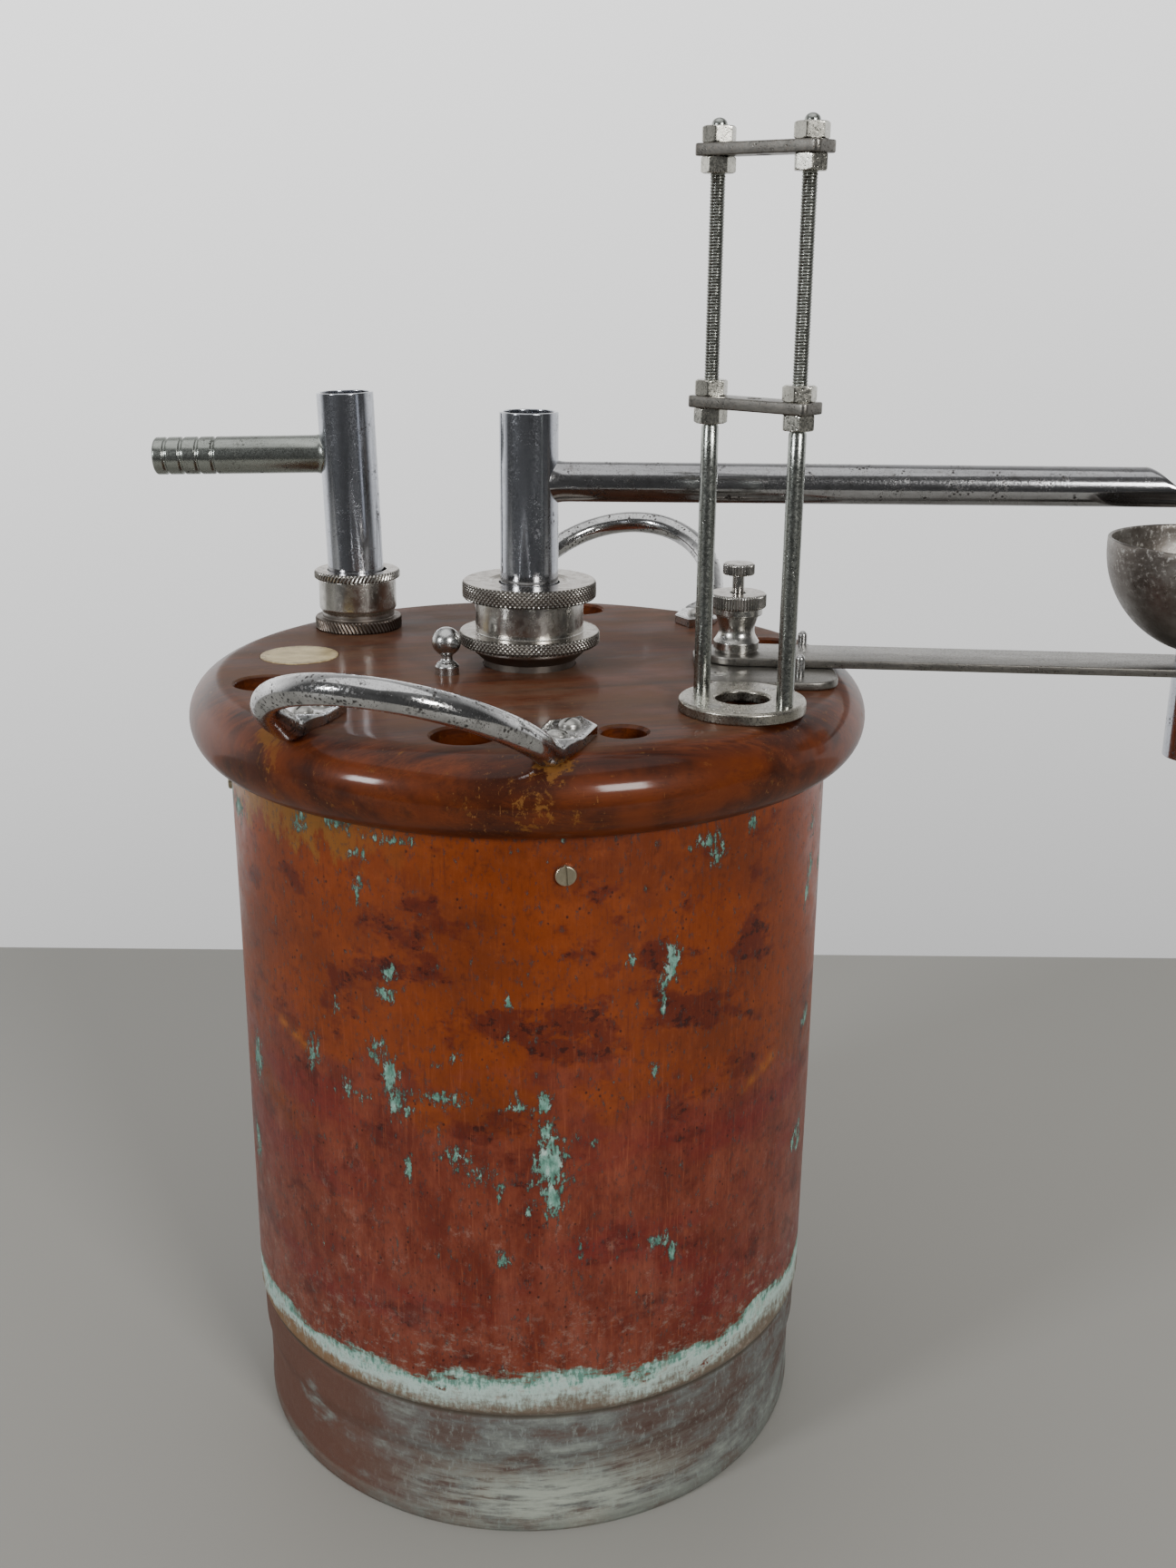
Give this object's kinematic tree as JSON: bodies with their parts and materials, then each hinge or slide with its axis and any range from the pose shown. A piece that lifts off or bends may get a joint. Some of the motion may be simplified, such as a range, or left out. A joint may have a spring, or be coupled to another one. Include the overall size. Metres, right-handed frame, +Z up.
{
  "type": "water-flow calorimeter vessel",
  "caption": "Round copper laboratory can with a wooden lid, water inlet and outlet tees, a long pouring spout, a swinging drain funnel and a rod guide frame.",
  "frame": {"origin": "centre of the can's flat bottom", "axes": "+Z up along the can's axis; +X along the outlet spout, towards the funnel; -Y is the side with the front handle"},
  "size_m": [0.3714, 0.2716, 0.4172],
  "materials": {
    "copper_sheet": "aged copper, brown and dark red with green verdigris",
    "copper_pipe": "drawn copper pipe",
    "varnished_wood": "dark red-brown varnish, worn",
    "plain_wood": "unvarnished",
    "ivory_disc": "yellowed ivory, blank",
    "plated_bar": "pitted nickel plate",
    "plated_screws": "dull nickel plate",
    "turned_plate": "nickel plate, tarnished",
    "gland_plate": "nickel plate, knurled",
    "gland_packing": "greased packing",
    "plated_tube": "nickel plate, tarnished",
    "guide_steel": "pitted steel",
    "bar_steel": "rough pitted steel",
    "nut_steel": "plated nuts",
    "dull_bowl": "dull tinned sheet"
  },
  "bodies": {
    "vessel": {"copper_can": "copper_sheet", "can_base": "copper_sheet", "can_screws": "plated_screws", "wooden_lid": "varnished_wood", "lid_plug": "plain_wood", "label_disc": "ivory_disc", "front_handle": "plated_bar", "rear_handle": "plated_bar", "handle_screws": "plated_screws", "ball_eye_post": "turned_plate", "outlet_neck": "gland_plate", "outlet_gland_body": "gland_plate", "outlet_gland_packing": "gland_packing", "inlet_gland_body": "gland_plate", "inlet_gland_packing": "gland_packing", "neck_lock_nuts": "gland_plate", "coil_unions": "copper_pipe", "water_coil": "copper_pipe", "inlet_drop_pipe": "copper_pipe", "outlet_riser": "copper_pipe", "guide_ring_plate": "guide_steel", "ring_plate_screws": "plated_screws", "guide_rod_left": "guide_steel", "guide_rod_right": "guide_steel", "arm_base_plate": "bar_steel", "base_plate_screws": "plated_screws", "stop_pins": "turned_plate", "pivot_stud": "turned_plate"},
    "swing_arm": {"funnel_arm": "bar_steel", "arm_boss": "turned_plate", "funnel_bowl": "dull_bowl", "funnel_drain_tube": "dull_bowl"},
    "clamp_nut_body": {"clamp_nut": "turned_plate"},
    "clamp_screw_body": {"clamp_screw": "turned_plate"},
    "inlet_nut_body": {"inlet_gland_nut": "gland_plate"},
    "inlet_tee": {"inlet_tee_tube": "plated_tube", "inlet_hose_nozzle": "plated_tube"},
    "outlet_nut_body": {"outlet_gland_nut": "gland_plate"},
    "outlet_tee": {"outlet_tee_tube": "plated_tube", "outlet_spout": "plated_tube"},
    "lower_guide": {"lower_crossbar": "bar_steel", "lower_crossbar_nuts": "nut_steel"},
    "upper_guide": {"upper_crossbar": "bar_steel", "upper_crossbar_nuts": "nut_steel"}
  },
  "joints": [
    {"name": "arm_swing", "type": "hinge", "parent": "vessel", "child": "swing_arm", "pos_m": [0.0655, -0.003, 0.2625], "axis": [0, 0, 1], "range_deg": [-21, 0]},
    {"name": "clamp_nut_turn", "type": "hinge", "parent": "vessel", "child": "clamp_nut_body", "pos_m": [0.0655, -0.003, 0.2785], "axis": [0, 0, 1], "continuous": true},
    {"name": "clamp_screw_turn", "type": "hinge", "parent": "vessel", "child": "clamp_screw_body", "pos_m": [0.0655, -0.003, 0.2885], "axis": [0, 0, 1], "continuous": true},
    {"name": "inlet_nut_turn", "type": "hinge", "parent": "vessel", "child": "inlet_nut_body", "pos_m": [-0.0614, 0.0503, 0.2765], "axis": [0, 0, 1], "continuous": true},
    {"name": "inlet_tee_turn", "type": "hinge", "parent": "vessel", "child": "inlet_tee", "pos_m": [-0.0614, 0.0503, 0.2665], "axis": [-0.0279, 0, 0.9996], "continuous": true},
    {"name": "outlet_nut_turn", "type": "hinge", "parent": "vessel", "child": "outlet_nut_body", "pos_m": [0, 0, 0.2785], "axis": [0, 0, 1], "continuous": true},
    {"name": "outlet_tee_turn", "type": "hinge", "parent": "vessel", "child": "outlet_tee", "pos_m": [0, 0, 0.2985], "axis": [0, 0, 1], "range_deg": [-32, 45]},
    {"name": "lower_bar_slide", "type": "slide", "parent": "vessel", "child": "lower_guide", "axis": [0, 0, 1], "range_m": [0, 0.024]},
    {"name": "upper_bar_slide", "type": "slide", "parent": "vessel", "child": "upper_guide", "axis": [0, 0, 1], "range_m": [-0.024, 0]}
  ]
}
